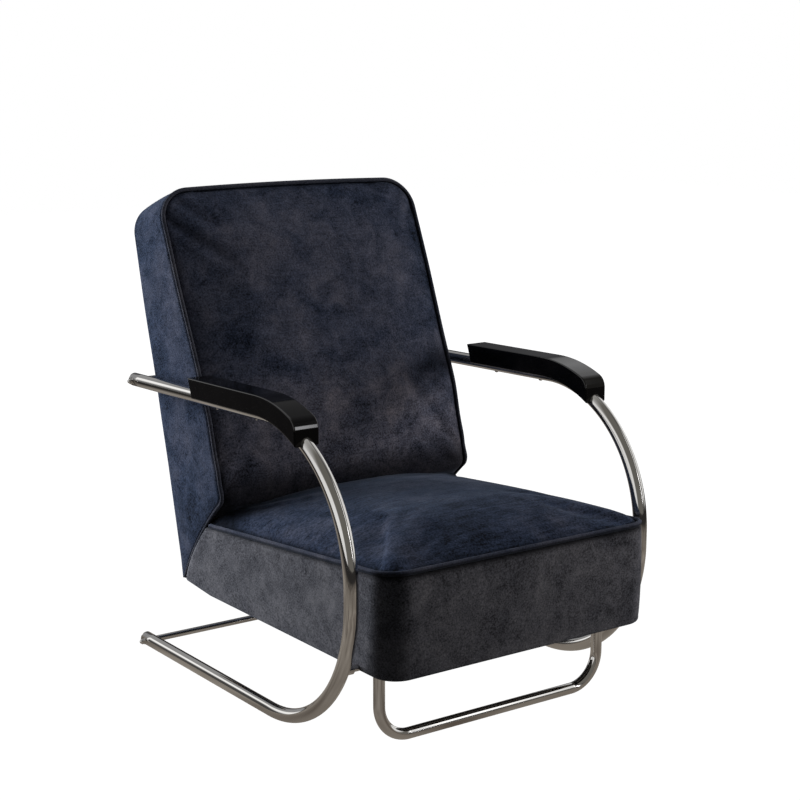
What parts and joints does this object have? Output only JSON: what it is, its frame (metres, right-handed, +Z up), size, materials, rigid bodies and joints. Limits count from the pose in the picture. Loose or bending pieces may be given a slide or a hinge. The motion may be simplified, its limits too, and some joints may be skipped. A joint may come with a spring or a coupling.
{
  "type": "tubular steel armchair",
  "caption": "Low lounge armchair: a padded seat and reclined back carried between bent chromed side tubes, with lacquered wooden arm pads and a U-shaped front leg.",
  "frame": {"origin": "on the floor, at the middle of the bounding box's footprint", "axes": "+Z up, the sitter faces -Y, +X to the right as seen from the front"},
  "size_m": [0.673, 0.842, 0.8886],
  "materials": {
    "chrome": "polished chrome plate",
    "steel": "zinc-plated",
    "black_lacquer": "black high-gloss lacquer",
    "beech": "raw planed",
    "navy_velour": "soft brushed nap",
    "webbing": "woven strap",
    "lining": "thin black lining"
  },
  "bodies": {
    "root": {"arm_pad_screws": "chrome", "back_border": "navy_velour", "back_bottom_rail": "beech", "back_cushion": "navy_velour", "back_left_side": "beech", "back_middle_rail": "beech", "back_piping": "navy_velour", "back_rear_panel": "navy_velour", "back_right_side": "beech", "back_rod": "chrome", "back_rod_saddles": "steel", "back_top_rail": "beech", "back_webbing": "webbing", "front_leg": "chrome", "front_rod": "chrome", "left_arm_pad": "black_lacquer", "left_side_frame": "chrome", "rear_floor_rod": "chrome", "right_arm_pad": "black_lacquer", "right_side_frame": "chrome", "rod_cap_nuts": "chrome", "rod_collars": "chrome", "rod_plate_screws": "steel", "rod_plates": "steel", "rod_washers": "chrome", "saddle_screws": "steel", "seat_border": "navy_velour", "seat_corner_blocks": "beech", "seat_cushion": "navy_velour", "seat_dust_cover": "lining", "seat_front_rail": "beech", "seat_left_rail": "beech", "seat_piping": "navy_velour", "seat_rear_rail": "beech", "seat_right_rail": "beech", "seat_webbing": "webbing", "tie_plate_screws": "steel", "tie_plates": "steel", "tube_end_caps": "chrome"}
  },
  "joints": []
}
